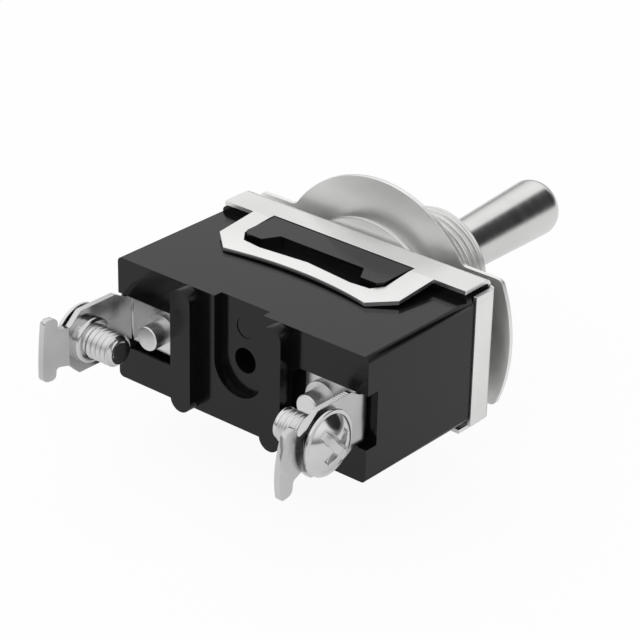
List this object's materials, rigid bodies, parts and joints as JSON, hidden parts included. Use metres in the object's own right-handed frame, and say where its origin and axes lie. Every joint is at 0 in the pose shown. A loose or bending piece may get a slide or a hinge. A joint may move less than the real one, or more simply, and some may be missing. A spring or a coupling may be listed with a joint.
{
  "type": "toggle switch",
  "caption": "Heavy-duty panel-mount toggle switch with a metal bat lever, a threaded bushing, a folded metal cover and screw terminals.",
  "frame": {"origin": "centre of the threaded bushing, on the outer face of the metal cover that lies behind the panel", "axes": "-Y along the bushing out to the lever's tip, +Y to the screw terminals, X along the long side of the body, +Z across its narrow side"},
  "size_m": [0.0325, 0.0592, 0.024],
  "materials": {
    "brass_strip": "stamped bare brass",
    "bright_rivet": "bright nickel plate on brass",
    "bright_screw": "bright nickel plate on steel",
    "bright_terminal": "bright nickel plate on brass sheet",
    "copper_blade": "stamped bare copper",
    "fibre": "dark vulcanised fibre sheet",
    "phenolic": "moulded glossy black thermoset",
    "plated_cover": "satin nickel plate on steel sheet",
    "plated_lever": "bright nickel plate on turned brass",
    "plated_nut": "bright nickel plate on brass",
    "plated_thread": "bright nickel plate on machined brass",
    "plated_washer": "nickel plate on spring steel",
    "plunger_steel": "hard smooth steel",
    "polished_plate": "polished nickel plate on sheet",
    "silver": "pressed silver contact",
    "spring_steel": "drawn spring wire",
    "steel_pin": "plain drawn steel"
  },
  "bodies": {
    "body": {"housing": "phenolic", "cover_frame": "plated_cover", "bushing": "plated_thread", "pivot_pin": "steel_pin", "fulcrum_strip": "brass_strip", "fixed_strip": "brass_strip", "fixed_button": "silver", "insulating_sheet": "fibre", "left_terminal": "bright_terminal", "right_terminal": "bright_terminal", "left_rivet": "bright_rivet", "right_rivet": "bright_rivet", "flat_washer": "plated_washer", "tooth_washer": "plated_washer", "name_plate": "polished_plate", "hex_nut": "plated_nut"},
    "lever": {"lever": "plated_lever"},
    "plunger": {"plunger": "plunger_steel", "plunger_spring": "spring_steel"},
    "rocker": {"rocker_contact": "copper_blade", "moving_button": "silver"},
    "left_screw": {"left_terminal_screw": "bright_screw"},
    "right_screw": {"right_terminal_screw": "bright_screw"}
  },
  "joints": [
    {"name": "lever_swing", "type": "hinge", "parent": "body", "child": "lever", "pos_m": [0, -0.003, 0], "axis": [0, 0, 1], "range_deg": [-14.3, 9.7]},
    {"name": "plunger_slide", "type": "slide", "parent": "lever", "child": "plunger", "axis": [0.0401, -0.9992, 0], "range_m": [0, 0.0008], "stiffness_N_per_m": 400, "springref_m": -0.001, "deforming": ["plunger_spring"]},
    {"name": "rocker_swing", "type": "hinge", "parent": "body", "child": "rocker", "pos_m": [0, 0.0126, 0], "axis": [0, 0, 1], "range_deg": [-6.47, 9.53]},
    {"name": "left_screw_turn", "type": "hinge", "parent": "body", "child": "left_screw", "pos_m": [0.01485, 0.0229, 0], "axis": [1, 0, 0], "continuous": true},
    {"name": "right_screw_turn", "type": "hinge", "parent": "body", "child": "right_screw", "pos_m": [-0.0146, 0.0229, 0], "axis": [-1, 0, 0], "continuous": true}
  ],
  "couplings": [
    {"joint": "rocker_swing", "follows": "lever_swing", "ratio": -0.66667}
  ]
}
